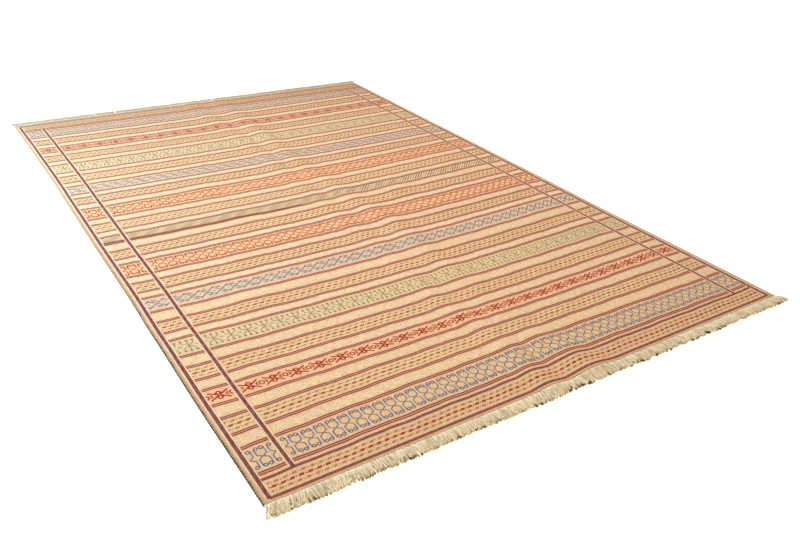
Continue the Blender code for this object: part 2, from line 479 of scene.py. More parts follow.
# Yarns in the same way: one dye, or two that a wool goes between in patches
MAROON = ((118, 34, 26), (140, 52, 46))
SLATE = ((100, 104, 130), (122, 114, 126))
ORANGE = ((168, 24, 0), (186, 48, 8))
BRICK = ((164, 24, 0), (178, 44, 14))
OLIVE = ((118, 106, 66), (138, 124, 88))
BLUE = ((94, 96, 120), (112, 106, 124))
SAGE = ((84, 90, 50), (108, 112, 72))
TAN = ((150, 138, 92), (172, 156, 112))
DASH_RED = ((148, 18, 0), (166, 38, 4))
DASH_GREEN = ((138, 118, 60), (158, 138, 86))
GUARD_RED = ((126, 26, 18), (140, 38, 28))
GUARD_SLATE = ((106, 86, 92), (126, 106, 110))
PALE_YARN = ((251, 234, 211),)
PALE_CORE = ((230, 218, 216),)
OUTLINE_YARN = ((255, 231, 208),)
# A shadow colour, painted where the gaps between the fringe's roots lie in shade
ROOT_SHADOW_YARN = ((96, 78, 40),)
OVERCAST_YARN = (246, 209, 166)
# The colour that the wraps' painted shade darkens them towards
OVERCAST_SHADE = (52, 44, 0)
COTTON = (255, 240, 204)
# The far fringe's cotton is a warmer copy, painted to offset the cool lamp's light that falls there
FAR_WARMED_COTTON = (255, 233, 198)
# The colour that the near fringe's painted shadow darkens it towards
COTTON_SHADE = (84, 72, 8)

# The surface of every yarn, and the noises that vary its colour, on Object coordinates: the stretch
# along each axis, scale, detail and turn, and the colour's strength where the noise is 0 and 1
YARN_FINISH = {
    "Roughness": 0.95,
    "Specular IOR Level": 0.06,
    "Sheen Weight": 0.12,
    "Sheen Roughness": 0.6,
}
EVEN = (1.0, 1.0, 1.0)
DYE_PATCHES = (EVEN, 46.0, 2.0, 0.0)
NOISES = {
    "dye_lots": ((1.2, 9.0, 1.0), 2.2, 3.0, 0.0, 0.84, 1.16),
    "maroon_lots": ((1.2, 9.0, 1.0), 2.2, 3.0, 0.0, 0.88, 1.12),
    "wool_fibres": (EVEN, 900.0, 2.0, 0.0, 0.88, 1.12),
    "cloth_wefts": ((1.0, 22.0, 1.0), 7.0, 4.0, 0.0, 0.93, 1.07),
    "cloth_streaks": ((1.0, 0.35, 1.0), 190.0, 2.0, math.radians(-38.0), 0.72, 1.28),
    "cloth_lots": ((1.0, 3.0, 1.0), 1.6, 3.0, 0.0, 0.95, 1.05),
    "cloth_fibres": (EVEN, 700.0, 2.0, 0.0, 0.94, 1.06),
    "shaded_lots": (EVEN, 9.0, 3.0, 0.0, 0.9, 1.1),
    "shaded_fibres": (EVEN, 800.0, 2.0, 0.0, 0.86, 1.12),
}
PATCH_CONTRAST = (3.0, -1.0)
STITCH_TONES = (0.86, 1.14)
# The cloth's colour strength from its lowest to its highest relief: painted shade in the weave's grooves
RELIEF_PAINTED_SHADE = (0.90, 1.02)
WEFT_BASE = 0.8
FIBRE_SHARE = 0.4

# How strong each fine relief is, and how high in metres
WOOL_BUMP = (0.4, 0.0004)
CLOTH_BUMP = (0.35, 0.0006)
SHADED_BUMP = (0.5, 0.0005)

# Seeds of the random draws. Pieces made in a row, and a fringe's layers, count on from their first
# seed, and the wraps of the two sides have the seeds beside theirs.
SEED_MOTIFS = 3
SEED_NEAR = 11
SEED_DASHES = 21
SEED_FAR = 23
SEED_BRAIDS = 31
SEED_GUARDS = 41
SEED_SWAPS = 45
SEED_OUTLINES = 51
SEED_ZIGZAGS = 61
SEED_WRAPS = 71
SEED_ROOT_SHADOWS = 81

# The camera stands where the photograph was taken
CAMERA_PLACE = (-1.5234, -2.7630, 1.3879)
CAMERA_AZIMUTH = math.radians(-34.661)
CAMERA_ELEVATION = math.radians(28.606)
CAMERA_ROLL = math.radians(3.045)
CAMERA_LENS = 35.45
SENSOR_WIDE = 36.0
CAMERA_SEES = 60.0

# Warm light from all round, and the lamps: place, aim, size, power and colour
WORLD_COLOUR = (1.0, 0.945, 0.865, 1.0)
WORLD_STRENGTH = 0.45
LAMPS = {
    "left_lamp": ((-2.6, 1.0, 1.3), (-0.4, 0.3, 0.0), 1.8, 79.0, (0.34, 0.70, 1.0)),
    "overhead_lamp": ((-0.7, 0.5, 4.6), (-0.7, 0.5, 0.0), 3.0, 128.0, (1.0, 0.755, 0.565)),
}

# The floor: a square just under the rug, which glows a little
FLOOR_REACH = 20.0
FLOOR_DROP = 0.0004
FLOOR_FINISH = {
    "Base Color": (0.94, 0.94, 0.94, 1.0),
    "Roughness": 0.8,
    "Emission Color": (1.0, 1.0, 1.0, 1.0),
    "Emission Strength": 0.70,
}


# --- How the rug lies ---------------------------------------------------------------------------


def column(table, names, name):
    """One named column of a table, as an array."""
    return np.array([row[names.index(name)] for row in table])


def between_rows(table, names, name, y):
    """A named column read at every y: an S-curve, 3t^2 - 2t^3, from each row to the next."""
    rows = column(table, names, "y")
    values = column(table, names, name)
    first = np.clip(np.searchsorted(rows, y) - 1, 0, len(rows) - 2)
    t = np.clip((y - rows[first]) / (rows[first + 1] - rows[first]), 0.0, 1.0)
    return values[first] + (values[first + 1] - values[first]) * t * t * (3.0 - 2.0 * t)


def dome(distance):
    """A smooth hump: (1 - d^2)^2 out to a distance of 1, and nothing past it."""
    return np.clip(1.0 - distance * distance, 0.0, None) ** 2


def crease_lift(table, x, y):
    """How high one crease lifts the cloth: its height times a dome across it."""
    middle = between_rows(table, CREASE_COLUMNS, "x", y)
    height = between_rows(table, CREASE_COLUMNS, "height", y)
    reach = between_rows(table, CREASE_COLUMNS, "reach", y)
    return height * dome((x - middle) / reach)


def lift_at(x, y):
    """The height of the cloth's underside: the higher of the two creases, plus the low bumps."""
    lift = np.maximum(crease_lift(RIGHT_CREASE, x, y), crease_lift(LEFT_CREASE, x, y))
    for row in BUMPS:
        bump = dict(zip(BUMP_COLUMNS, row))
        across = (x - bump["x"]) / bump["reach_x"]
        along = (y - bump["y"]) / bump["reach_y"]
        lift = lift + bump["height"] * dome(np.hypot(across, along))
    return lift


def edge_at(side, y):
    """X of the rug's outer edge on one side, -1 for left and 1 for right."""
    name = "left" if side < 0 else "right"
    return side * WIDTH / 2 + between_rows(EDGE_TABLE, EDGE_COLUMNS, name, y)


def wander(across, along):
    """How far a weft strays along the rug: a sum of slanted sine waves, faded out at both ends."""
    fade = np.clip((WANDER_END - np.abs(along)) / WANDER_FADE, 0.0, 1.0)
    waves = (
        size * np.sin(math.tau * (across / wave_across + along / wave_along))
        for size, wave_across, wave_along in WANDER_WAVES
    )
    return fade * sum(waves)


def lay(across, along, up):
    """Where a place on the flat weave lies, "up" above the cloth's face.

    X is shifted by both edges' waves, each in proportion to how near it is. Y is shifted by the
    stripe's bow, a parabola about BOW_MIDDLE, by its skew and by its wander. Z is the lift plus the
    thickness.
    """
    share = (across + WIDTH / 2) / WIDTH
    left = between_rows(EDGE_TABLE, EDGE_COLUMNS, "left", along)
    right = between_rows(EDGE_TABLE, EDGE_COLUMNS, "right", along)
    x = across + left + (right - left) * share
    bow = between_rows(BOW_TABLE, BOW_COLUMNS, "bow", along)
    skew = between_rows(BOW_TABLE, BOW_COLUMNS, "skew", along)
    parabola = np.clip(1.0 - ((across - BOW_MIDDLE) / BOW_REACH) ** 2, 0.0, None)
    y = along - bow * parabola + skew * share + wander(across, along)
    return np.stack((x, y, lift_at(x, y) + CLOTH_THICK + up), axis=-1)


# --- Meshes -------------------------------------------------------------------------------------


def new_piece(name, points, faces, material, values=(), smooth=True):
    """A mesh object from arrays, with named point values and a flat map seen from above."""
    mesh = bpy.data.meshes.new(name)
    mesh.from_pydata(points.reshape(-1, 3).tolist(), [], faces)
    for label, kind, field, numbers in values:
        attribute = mesh.attributes.new(label, kind, "POINT")
        attribute.data.foreach_set(field, np.ascontiguousarray(numbers, np.float32).ravel())
    corner_points = np.zeros(len(mesh.loops), np.int32)
    mesh.loops.foreach_get("vertex_index", corner_points)
    seen = points.reshape(-1, 3)[corner_points, :2]
    low, high = seen.min(axis=0), seen.max(axis=0)
    layer = mesh.uv_layers.new(name="OFBake")
    layer.data.foreach_set("uv", ((seen - low) / (high - low)).astype(np.float32).ravel())
    if smooth:
        mesh.shade_smooth()
    mesh.materials.append(material)
    piece = bpy.data.objects.new(name, mesh)
    bpy.context.scene.collection.objects.link(piece)
    return piece


def grid_faces(rows, columns):
    """Quads of a grid of points, facing up where rows run along +Y and columns along +X."""
    start = (np.arange(rows - 1)[:, None] * columns + np.arange(columns - 1)).ravel()
    return np.stack((start, start + 1, start + columns + 1, start + columns), axis=1).tolist()


def tube_faces(count, rings, sides):
    """Quads round many closed tubes, ring by ring, and one face on each end."""
    base = np.arange(count) * rings * sides
    ring = np.arange(rings - 1) * sides
    corner = np.arange(sides)
    here = base[:, None, None] + ring[None, :, None] + corner
    after = base[:, None, None] + ring[None, :, None] + (corner + 1) % sides
    quads = np.stack((here, here + sides, after + sides, after), axis=-1).reshape(-1, 4)
    first = base[:, None] + corner
    last = base[:, None] + (rings - 1) * sides + corner[::-1]
    return quads.tolist() + first.tolist() + last.tolist()


def flipped(faces):
    """The same faces, turned to point the other way."""
    return [face[::-1] for face in faces]


STITCH_POINTS = np.array(
    (
        (-0.50, -0.50, 0.0),
        (0.50, -0.50, 0.0),
        (0.50, 0.50, 0.0),
        (-0.50, 0.50, 0.0),
        (-0.22, 0.0, 1.0),
        (0.22, 0.0, 1.0),
    )
)
STITCH_SIDES = np.array(((0, 1, 5, 4), (2, 3, 4, 5)))
STITCH_ENDS = np.array(((1, 2, 5), (3, 0, 4)))


def new_stitches(name, material, across, along, long, deep, turn=0.0, high=STITCH_HIGH, seed=1):
    """Yarn floats laid on the cloth: each is a small hipped roof, its eaves let into the cloth.

    Every float is "long" by "deep", turned about its middle, with its ridge "high" above the cloth.
    The tone of each varies, by seeded chance.
    """
    across, along, long, deep, turn, high = np.broadcast_arrays(across, along, long, deep, turn, high)
    a = STITCH_POINTS[:, 0] * long[:, None]
    b = STITCH_POINTS[:, 1] * deep[:, None]
    cos, sin = np.cos(turn)[:, None], np.sin(turn)[:, None]
    up = STITCH_POINTS[:, 2] * (high[:, None] + STITCH_SUNK) - STITCH_SUNK
    points = lay(across[:, None] + a * cos - b * sin, along[:, None] + a * sin + b * cos, up)
    start = np.arange(len(across))[:, None, None] * len(STITCH_POINTS)
    sides = (start + STITCH_SIDES).reshape(-1, 4)
    ends = (start + STITCH_ENDS).reshape(-1, 3)
    chance = np.random.default_rng(seed)
    tone = np.repeat(chance.uniform(0.0, 1.0, len(across)), len(STITCH_POINTS))
    values = (("tone", "FLOAT", "value", tone),)
    return new_piece(name, points, sides.tolist() + ends.tolist(), material, values)


# --- Materials ----------------------------------------------------------------------------------


def linear(colour):
    """A colour in linear light, from sRGB 0 to 255."""
    share = np.array(colour, float) / 255.0
    low = share / 12.92
    high = ((share + 0.055) / 1.055) ** 2.4
    return (*np.where(share <= 0.04045, low, high).tolist(), 1.0)


def put(tree, socket, value):
    """Gives an input its value, or links it to another node's output."""
    if isinstance(value, bpy.types.NodeSocket):
        tree.links.new(value, socket)
    else:
        socket.default_value = value


def maths(tree, operation, *values):
    """A Math node on sockets or numbers."""
    node = tree.nodes.new("ShaderNodeMath")
    node.operation = operation
    for socket, value in zip(node.inputs, values):
        put(tree, socket, value)
    return node.outputs[0]


# The Mix node's sockets: its factor, its first and second colours, and the colour that it gives
MIX_FACTOR, MIX_FIRST, MIX_SECOND, MIX_RESULT = 0, 6, 7, 2


def mix_colours(tree, factor, first, second, blend="MIX"):
    """A Mix node on two colours."""
    node = tree.nodes.new("ShaderNodeMix")
    node.data_type = "RGBA"
    node.blend_type = blend
    put(tree, node.inputs[MIX_FACTOR], factor)
    put(tree, node.inputs[MIX_FIRST], first)
    put(tree, node.inputs[MIX_SECOND], second)
    return node.outputs[MIX_RESULT]


def noise(tree, stretch, scale, detail, turn):
    """Noise on object coordinates, turned about Z and stretched along each axis."""
    place = tree.nodes.new("ShaderNodeTexCoord").outputs["Object"]
    mapping = tree.nodes.new("ShaderNodeMapping")
    mapping.inputs["Rotation"].default_value = (0.0, 0.0, turn)
    mapping.inputs["Scale"].default_value = stretch
    tree.links.new(place, mapping.inputs["Vector"])
    texture = tree.nodes.new("ShaderNodeTexNoise")
    texture.inputs["Scale"].default_value = scale
    texture.inputs["Detail"].default_value = detail
    tree.links.new(mapping.outputs["Vector"], texture.inputs["Vector"])
    return texture.outputs["Fac"]


def point_value(tree, label, output):
    """Reads a named point value of the mesh."""
    node = tree.nodes.new("ShaderNodeAttribute")
    node.attribute_name = label
    return node.outputs[output]


def brightness(tree, colour, share, low, high):
    """Makes a colour darker or lighter: its strength goes from low to high as share goes 0 to 1."""
    strength = maths(tree, "MULTIPLY_ADD", share, high - low, low)
    grey = tree.nodes.new("ShaderNodeCombineColor")
    for socket in grey.inputs:
        tree.links.new(strength, socket)
    return mix_colours(tree, 1.0, colour, grey.outputs[0], "MULTIPLY")


def varied(tree, colour, look):
    """A colour made darker and lighter by one of the NOISES, and that noise."""
    *kind, low, high = NOISES[look]
    texture = noise(tree, *kind)
    return brightness(tree, colour, texture, low, high), texture


def bumped(tree, shader, height, strength, distance):
    """Raises the surface by a height, as fine relief."""
    node = tree.nodes.new("ShaderNodeBump")
    node.inputs["Strength"].default_value = strength
    node.inputs["Distance"].default_value = distance
    tree.links.new(height, node.inputs["Height"])
    tree.links.new(node.outputs["Normal"], shader.inputs["Normal"])


def yarn_shader(name):
    """A matt, slightly fuzzy fibre surface: its material, node tree and shader."""
    material = bpy.data.materials.new(name)
    material.use_nodes = True
    tree = material.node_tree
    shader = tree.nodes["Principled BSDF"]
    for label, value in YARN_FINISH.items():
        shader.inputs[label].default_value = value
    return material, tree, shader


def wool(name, dye, second_dye=None, lots="dye_lots"):
    """Dyed wool: dye lots drift along the rug, each stitch has its own tone and fibres speckle it.

    Where it has a second dye, it goes between the two in patches.
    """
    material, tree, shader = yarn_shader(name)
    patches = maths(tree, "MULTIPLY_ADD", noise(tree, *DYE_PATCHES), *PATCH_CONTRAST)
    colour = mix_colours(tree, patches, linear(dye), linear(second_dye or dye))
    colour = varied(tree, colour, lots)[0]
    colour = brightness(tree, colour, point_value(tree, "tone", "Fac"), *STITCH_TONES)
    colour, fibres = varied(tree, colour, "wool_fibres")
    tree.links.new(colour, shader.inputs["Base Color"])
    bumped(tree, shader, fibres, *WOOL_BUMP)
    return material


def ramp(tree, value, start, stop):
    """Goes from 0 where a value is at start to 1 where it is at stop, and stays there."""
    slope = 1.0 / (stop - start)
    node = maths(tree, "MULTIPLY_ADD", value, slope, -start * slope)
    node.node.use_clamp = True
    return node


def close_to(tree, value, middle, half):
    """One where a value is within half of its middle, with an edge of SOFT_EDGE on both sides."""
    away = maths(tree, "ABSOLUTE", maths(tree, "SUBTRACT", value, middle))
    return ramp(tree, away, half + SOFT_EDGE, half - SOFT_EDGE)


def all_of(tree, first, *others):
    """The product of masks."""
    for other in others:
        first = maths(tree, "MULTIPLY", first, other)
    return first


def ground_under_stitches(tree, across, along, from_line):
    """The ground's colour: each band's own, peach beside the lines and darker under the stitches.

    The core of a line is mauve between its ties, where |sin| of the place across is away from 0.
    Everything is told from the place on the flat weave and from the distance to the nearest line.
    """
    side = maths(tree, "ABSOLUTE", across)
    end = maths(tree, "ABSOLUTE", along)
    inner_guard = close_to(tree, side, INNER_GUARD, BORDER_FROM - INNER_GUARD)
    within = ramp(tree, side, BORDER_TO + SOFT_EDGE, BORDER_TO - SOFT_EDGE)
    crossed = all_of(tree, maths(tree, "SUBTRACT", 1.0, inner_guard), within)
    off_line = ramp(tree, from_line, BRAID_HALF, BRAID_HALF + EDGE_FADE)
    colour = mix_colours(tree, off_line, linear(GROUND_EDGE), point_value(tree, "ground", "Color"))
    braid = all_of(tree, close_to(tree, from_line, 0.0, BRAID_HALF), crossed)
    colour = mix_colours(tree, braid, colour, linear(BRAID_UNDER))
    ties = maths(tree, "SINE", maths(tree, "MULTIPLY", across, math.pi / BRAID_PITCH))
    between_ties = ramp(tree, maths(tree, "ABSOLUTE", ties), *TIE_FADE)
    core = all_of(tree, close_to(tree, from_line, 0.0, MAUVE_HALF), crossed, between_ties)
    colour = mix_colours(tree, core, colour, linear(MAUVE))
    for guard, reach in GUARDS:
        beside = close_to(tree, side, guard, GUARD_HALF)
        beyond = close_to(tree, end, reach, END_GUARD_HALF)
        long_way = all_of(tree, beside, close_to(tree, end, 0.0, reach))
        cross_way = all_of(tree, beyond, close_to(tree, side, 0.0, OUTER_GUARD))
        for under in (long_way, cross_way):
            colour = mix_colours(tree, under, colour, linear(GUARD_UNDER))
    return colour


def woven(name):
    """The flat weave: the ground's colour, with ribs and wefts as relief.

    The ribs are |sin| of the place across, one for each warp pair. The wefts are |sin| of the place
    along and the rib's own angle together, so that each slants over its rib. The relief is the square
    root of the rib times the weft and its base. Slanted streaks, wefts and dye lots vary the colour, and
    painted shade darkens it where the relief is low.
    """
    material, tree, shader = yarn_shader(name)
    weave = tree.nodes.new("ShaderNodeSeparateXYZ")
    tree.links.new(point_value(tree, "weave", "Vector"), weave.inputs[0])
    across, along, from_line = weave.outputs
    rib_angle = maths(tree, "MULTIPLY", across, math.pi / RIB_PITCH)
    rib = maths(tree, "ABSOLUTE", maths(tree, "SINE", rib_angle))
    weft_angle = maths(tree, "MULTIPLY_ADD", along, math.pi / WEFT_PITCH, rib_angle)
    weft = maths(tree, "ABSOLUTE", maths(tree, "SINE", weft_angle))
    rounded_rib = maths(tree, "POWER", rib, 0.5)
    relief = maths(tree, "MULTIPLY", rounded_rib, maths(tree, "ADD", weft, WEFT_BASE))
    colour = ground_under_stitches(tree, across, along, from_line)
    for look in ("cloth_wefts", "cloth_streaks", "cloth_lots", "cloth_fibres"):
        colour, fibres = varied(tree, colour, look)
    # Painted shade: darker in the weave's grooves, where the relief is low
    colour = brightness(tree, colour, relief, *RELIEF_PAINTED_SHADE)
    tree.links.new(colour, shader.inputs["Base Color"])
    bumped(tree, shader, maths(tree, "MULTIPLY_ADD", fibres, FIBRE_SHARE, relief), *CLOTH_BUMP)
    return material


def shaded_yarn(name, dye, shade, label):
    """Yarn darkened towards a shade colour where a point value says so: painted shade, as in the grooves
    between wraps, and painted shadow, as on the near fringe.
    """
    material, tree, shader = yarn_shader(name)
    colour = mix_colours(tree, point_value(tree, label, "Fac"), linear(dye), linear(shade))
    for look in ("shaded_lots", "shaded_fibres"):
        colour, fibres = varied(tree, colour, look)
    tree.links.new(colour, shader.inputs["Base Color"])
    bumped(tree, shader, fibres, *SHADED_BUMP)
    return material


# --- The cloth ----------------------------------------------------------------------------------


def even_steps(start, stop, step):
    """Evenly spaced places from start up to, but not with, stop, about one step apart."""
    count = max(round((stop - start) / step), 1)
    return np.linspace(start, stop, count + 1)[:-1]


def cloth_rows():
    """Places along the cloth: at each line, halfway between lines and at even steps between."""
    end = LENGTH / 2 - GAP
    places = [[-end, end], LINES, (LINES[1:] + LINES[:-1]) / 2]
    places = np.unique(np.round(np.concatenate(places), 5))
    spans = zip(places[:-1], places[1:])
    return np.concatenate([even_steps(low, high, ROW_STEP) for low, high in spans] + [places[-1:]])


def cloth_columns():
    """Places across the cloth: fine over the creases, coarse elsewhere."""
    half = WIDTH / 2 - OVERCAST_WIDE - GAP
    low, high = CREASE_ZONE
    return np.concatenate(
        (
            even_steps(-half, low, COARSE_STEP),
            even_steps(low, high, FINE_STEP),
            even_steps(high, half, COARSE_STEP),
            [half],
        )
    )


def middle_wider(across):
    """How many times wider than the others the middle line is, at places across the rug."""
    places = column(WIDER_TABLE, WIDER_COLUMNS, "across")
    return np.interp(across, places, column(WIDER_TABLE, WIDER_COLUMNS, "wider"))


def distance_to_line(rows, columns):
    """How far each point is from the nearest line, as if the middle line were as narrow as the rest."""
    nearest = LINES[np.abs(rows[:, None] - LINES).argmin(axis=1)]
    wider = np.where(np.isclose(nearest, MIDDLE_LINE)[:, None], middle_wider(columns), 1.0)
    return np.abs(rows - nearest)[:, None] / wider


def ground_colours(rows):
    """The ground colour of each row: its band's own, and the mean of both bands on a line."""
    colours = np.array([linear(BAND_GROUNDS[band]) for band in (*BANDS, "border")])
    before = np.searchsorted(LINES, rows - BESIDE_LINE) - 1
    after = np.searchsorted(LINES, rows + BESIDE_LINE) - 1
    return (colours[before] + colours[after]) / 2


def make_cloth():
    """The woven sheet: a grid laid by lay(), thickened downwards to the cloth's thickness."""
    rows = cloth_rows()
    columns = cloth_columns()
    along, across = np.meshgrid(rows, columns, indexing="ij")
    ground = np.repeat(ground_colours(rows)[:, None, :], len(columns), axis=1)
    weave = np.stack((across, along, distance_to_line(rows, columns)), axis=-1)
    values = (("ground", "FLOAT_COLOR", "color", ground), ("weave", "FLOAT_VECTOR", "vector", weave))
    faces = grid_faces(len(rows), len(columns))
    cloth = new_piece("woven_cloth_sheet", lay(across, along, 0.0), faces, woven("flat_weave"), values)
    thick = cloth.modifiers.new("cloth_thickness", "SOLIDIFY")
    thick.thickness = CLOTH_THICK
    thick.offset = -1.0
    return cloth


# --- The pattern --------------------------------------------------------------------------------


def band_span(kind):
    """The (from, to) of each band of one kind, between the lines on both sides of it."""
    return [(LINES[k], LINES[k + 1]) for k, band in enumerate(BANDS[:-1]) if band == kind]


def middles(kind):
    """The middle of each band of one kind."""
    return [(low + high) / 2 for low, high in band_span(kind)]


def ring_strokes(rings):
    """The chords of each ellipse, as strokes."""
    turn = np.arange(RING_STROKES + 1) * math.tau / RING_STROKES
    strokes = []
    for x, y, half_wide, half_tall, thick in rings:
        xs = x + half_wide * np.cos(turn)
        ys = y + half_tall * np.sin(turn)
        thicks = np.full(RING_STROKES, thick)
        strokes.append(np.stack((xs[:-1], ys[:-1], xs[1:], ys[1:], thicks), axis=1))
    return np.concatenate(strokes)


def mirrored(strokes):
    """Strokes with their copies mirrored left to right, near to far, and both ways."""
    ways = [(a, b) for a in (1.0, -1.0) for b in (1.0, -1.0)]
    return np.concatenate([strokes * (a, b, a, b, 1.0) for a, b in ways])


def floats_along(strokes=(), rings=(), mirror=True, float_long=FLOAT_LONG):
    """A motif's floats: x, y, long, deep and turn of each, one row for each float.

    Each stroke is cut into equal floats laid end to end. Those of a steep stroke lie across it, one
    above the other, as a wrapped weft does. A float that two mirrored copies share is kept once.
    """
    parts = [np.array(strokes, float).reshape(-1, 5)]
    if rings:
        parts.append(ring_strokes(rings))
    table = np.concatenate(parts)
    if mirror:
        table = mirrored(table)
    start, run, thick = table[:, :2] * MM, (table[:, 2:4] - table[:, :2]) * MM, table[:, 4] * MM
    length = np.hypot(run[:, 0], run[:, 1])
    count = np.maximum(np.round(length / float_long), 1).astype(int)
    stroke = np.repeat(np.arange(len(table)), count)
    step = np.arange(len(stroke)) - np.repeat(np.cumsum(count) - count, count)
    share = (step + 0.5) / count[stroke]
    place = start[stroke] + run[stroke] * share[:, None]
    angle = np.arctan2(run[:, 1], run[:, 0])
    angle = (angle + math.pi / 2) % math.pi - math.pi / 2
    steep = np.abs(angle) > FLOAT_STEEP
    part = length / count
    long = np.where(steep, thick * STEEP_WIDER, part * FLOAT_OVERLAP)
    deep = np.where(steep, part, thick)
    turn = np.where(steep, 0.0, angle)
    floats = np.column_stack((place, long[stroke], deep[stroke], turn[stroke]))
    kept = np.unique(np.round(floats[:, :2] / SAME_PLACE), axis=0, return_index=True)[1]
    return floats[np.sort(kept)]


def shifted(floats, across, along=0.0):
    """The same floats, moved."""
    return floats + (across, along, 0.0, 0.0, 0.0)


def repeated(floats, motif, centres, zones=ZONES):
    """A motif's floats laid again and again across each zone of each band, cut at the zone's ends."""
    pitch, border_shift, field_shift = MOTIFS[motif]
    laid = []
    for low, high in zones:
        shift = field_shift if low < 0.0 < high else border_shift
        reach = math.ceil((high - low) / 2 / pitch) + 1
        repeats = (low + high) / 2 + shift + np.arange(-reach, reach + 1) * pitch
        field = (floats[None, :, :] + repeats[:, None, None] * (1.0, 0.0, 0.0, 0.0, 0.0)).reshape(-1, 5)
        margin = field[:, 2] * CUT_SHARE
        field = field[(field[:, 0] > low + margin) & (field[:, 0] < high - margin)]
        laid += [shifted(field, 0.0, centre) for centre in centres]
    return np.concatenate(laid)


def brocade_piece(name, dyes, floats, seed):
    """One yarn's piece, from its table of floats."""
    return new_stitches(name, wool(name + "_wool", *dyes), *floats.T, seed=seed)


def make_motifs():
    """The bands of motifs, one piece for each yarn, with pale yarn in the curls and the lattice."""
    curls = floats_along(CURL_STROKES, CURL_RINGS)
    cores = floats_along(CURL_CORES)
    lozenges = shifted(floats_along(LOZENGE_STROKES), MOTIFS["crosses"][0] / 2)
    crosses = np.concatenate((floats_along(CROSS_STROKES, CROSS_RINGS), lozenges))
    trees = floats_along(TREE_STROKES)
    lattice = floats_along(LATTICE_STROKES, mirror=False)
    lattice_pale = floats_along(LATTICE_PALE_STROKES, LATTICE_PALE_RINGS, mirror=False)
    hatching = floats_along(HATCH_STROKES, mirror=False)
    hatching_pale = floats_along(HATCH_PALE_STROKES, mirror=False)
    hatch_centre = [middles("hatching")[0] + HATCH_FURTHER]
    jobs = (
        ("slate_curls", SLATE, curls, "curls", middles("curls")),
        ("pale_curl_cores", PALE_CORE, cores, "curls", middles("curls")),
        ("orange_curls", ORANGE, curls, "curls", middles("orange_curls")),
        ("brick_crosses", BRICK, crosses, "crosses", middles("crosses")),
        ("olive_trees", OLIVE, trees, "trees", middles("trees")),
        ("blue_lattice", BLUE, lattice, "lattice", middles("lattice")),
        ("pale_lattice", PALE_CORE, lattice_pale, "lattice", middles("lattice")),
        ("sage_hatching", SAGE, hatching, "hatching", hatch_centre),
        ("tan_hatching", TAN, hatching_pale, "hatching", hatch_centre),
    )
    return [
        brocade_piece(name, dyes, repeated(floats, motif, centres), seed)
        for seed, (name, dyes, floats, motif, centres) in enumerate(jobs, SEED_MOTIFS)
    ]


def make_dashes():
    """Three rows of dashes and dots in each dash band and in both end borders."""
    borders = [(BORDER_LINE, END_LINE), (-END_LINE, -BORDER_LINE)]
    groups = ((band_span("dashes"), ZONES), (borders, FULL_ZONE))
    jobs = (
        ("red_dashes", RED_DASH_STROKES, DASH_RED, (0.0,)),
        ("green_dashes", GREEN_DASH_STROKES, DASH_GREEN, (-GREEN_ROW, GREEN_ROW)),
    )
    pieces = []
    for seed, (name, strokes, dyes, shares) in enumerate(jobs, SEED_DASHES):
        dash = floats_along(strokes, mirror=False, float_long=DASH_FLOAT)
        laid = []
        for spans, zones in groups:
            centres = [(low + high) / 2 + share * (high - low) for low, high in spans for share in shares]
            laid.append(repeated(dash, name, centres, zones))
        pieces.append(brocade_piece(name, dyes, np.concatenate(laid), seed))
    return pieces


def make_braids():
    """The maroon lines: two rows of floats that lean towards each other over a mauve core.

    The middle line is wider, most of all at the left, and there two more rows fill its core.
    """
    across = np.concatenate([np.arange(low + BRAID_PITCH / 2, high, BRAID_PITCH) for low, high in ZONES])
    second = np.arange(len(across)) % 2
    material = wool("maroon_wool", *MAROON, lots="maroon_lots")
    halves = (("near", LINES[LINES < MIDDLE_LINE]), ("far", LINES[LINES >= MIDDLE_LINE]))
    pieces = []
    for seed, (name, lines) in enumerate(halves, SEED_BRAIDS):
        rows = []
        for line in lines:
            wider = middle_wider(across) if line == MIDDLE_LINE else np.ones_like(across)
            filled = wider > FILLED_FROM
            for chosen, spread in ((slice(None), wider), (filled, wider[filled] - 1.0)):
                for side in (-1.0, 1.0):
                    turn = np.full_like(spread, side * BRAID_TURN)
                    rows.append((across[chosen], line + side * BRAID_ROW * spread, turn, second[chosen]))
        places, alongs, turns, seconds = (np.concatenate(part) for part in zip(*rows))
        long = BRAID_LONG * (1.0 + SECOND_LONGER * seconds)
        deep = BRAID_DEEP * (1.0 + SECOND_DEEPER * seconds)
        braid = new_stitches(f"maroon_braid_{name}", material, places, alongs, long, deep, turns, seed=seed)
        pieces.append(braid)
    return pieces


def shows_red(steps, offset, pitch, share):
    """True where a twisted line shows its red yarn, for a share of each turn, in slanting patches.

    That is where (step - slant times offset) / pitch has a fraction below the share.
    """
    return ((steps - offset * GUARD_SLANT) / pitch) % 1.0 < share


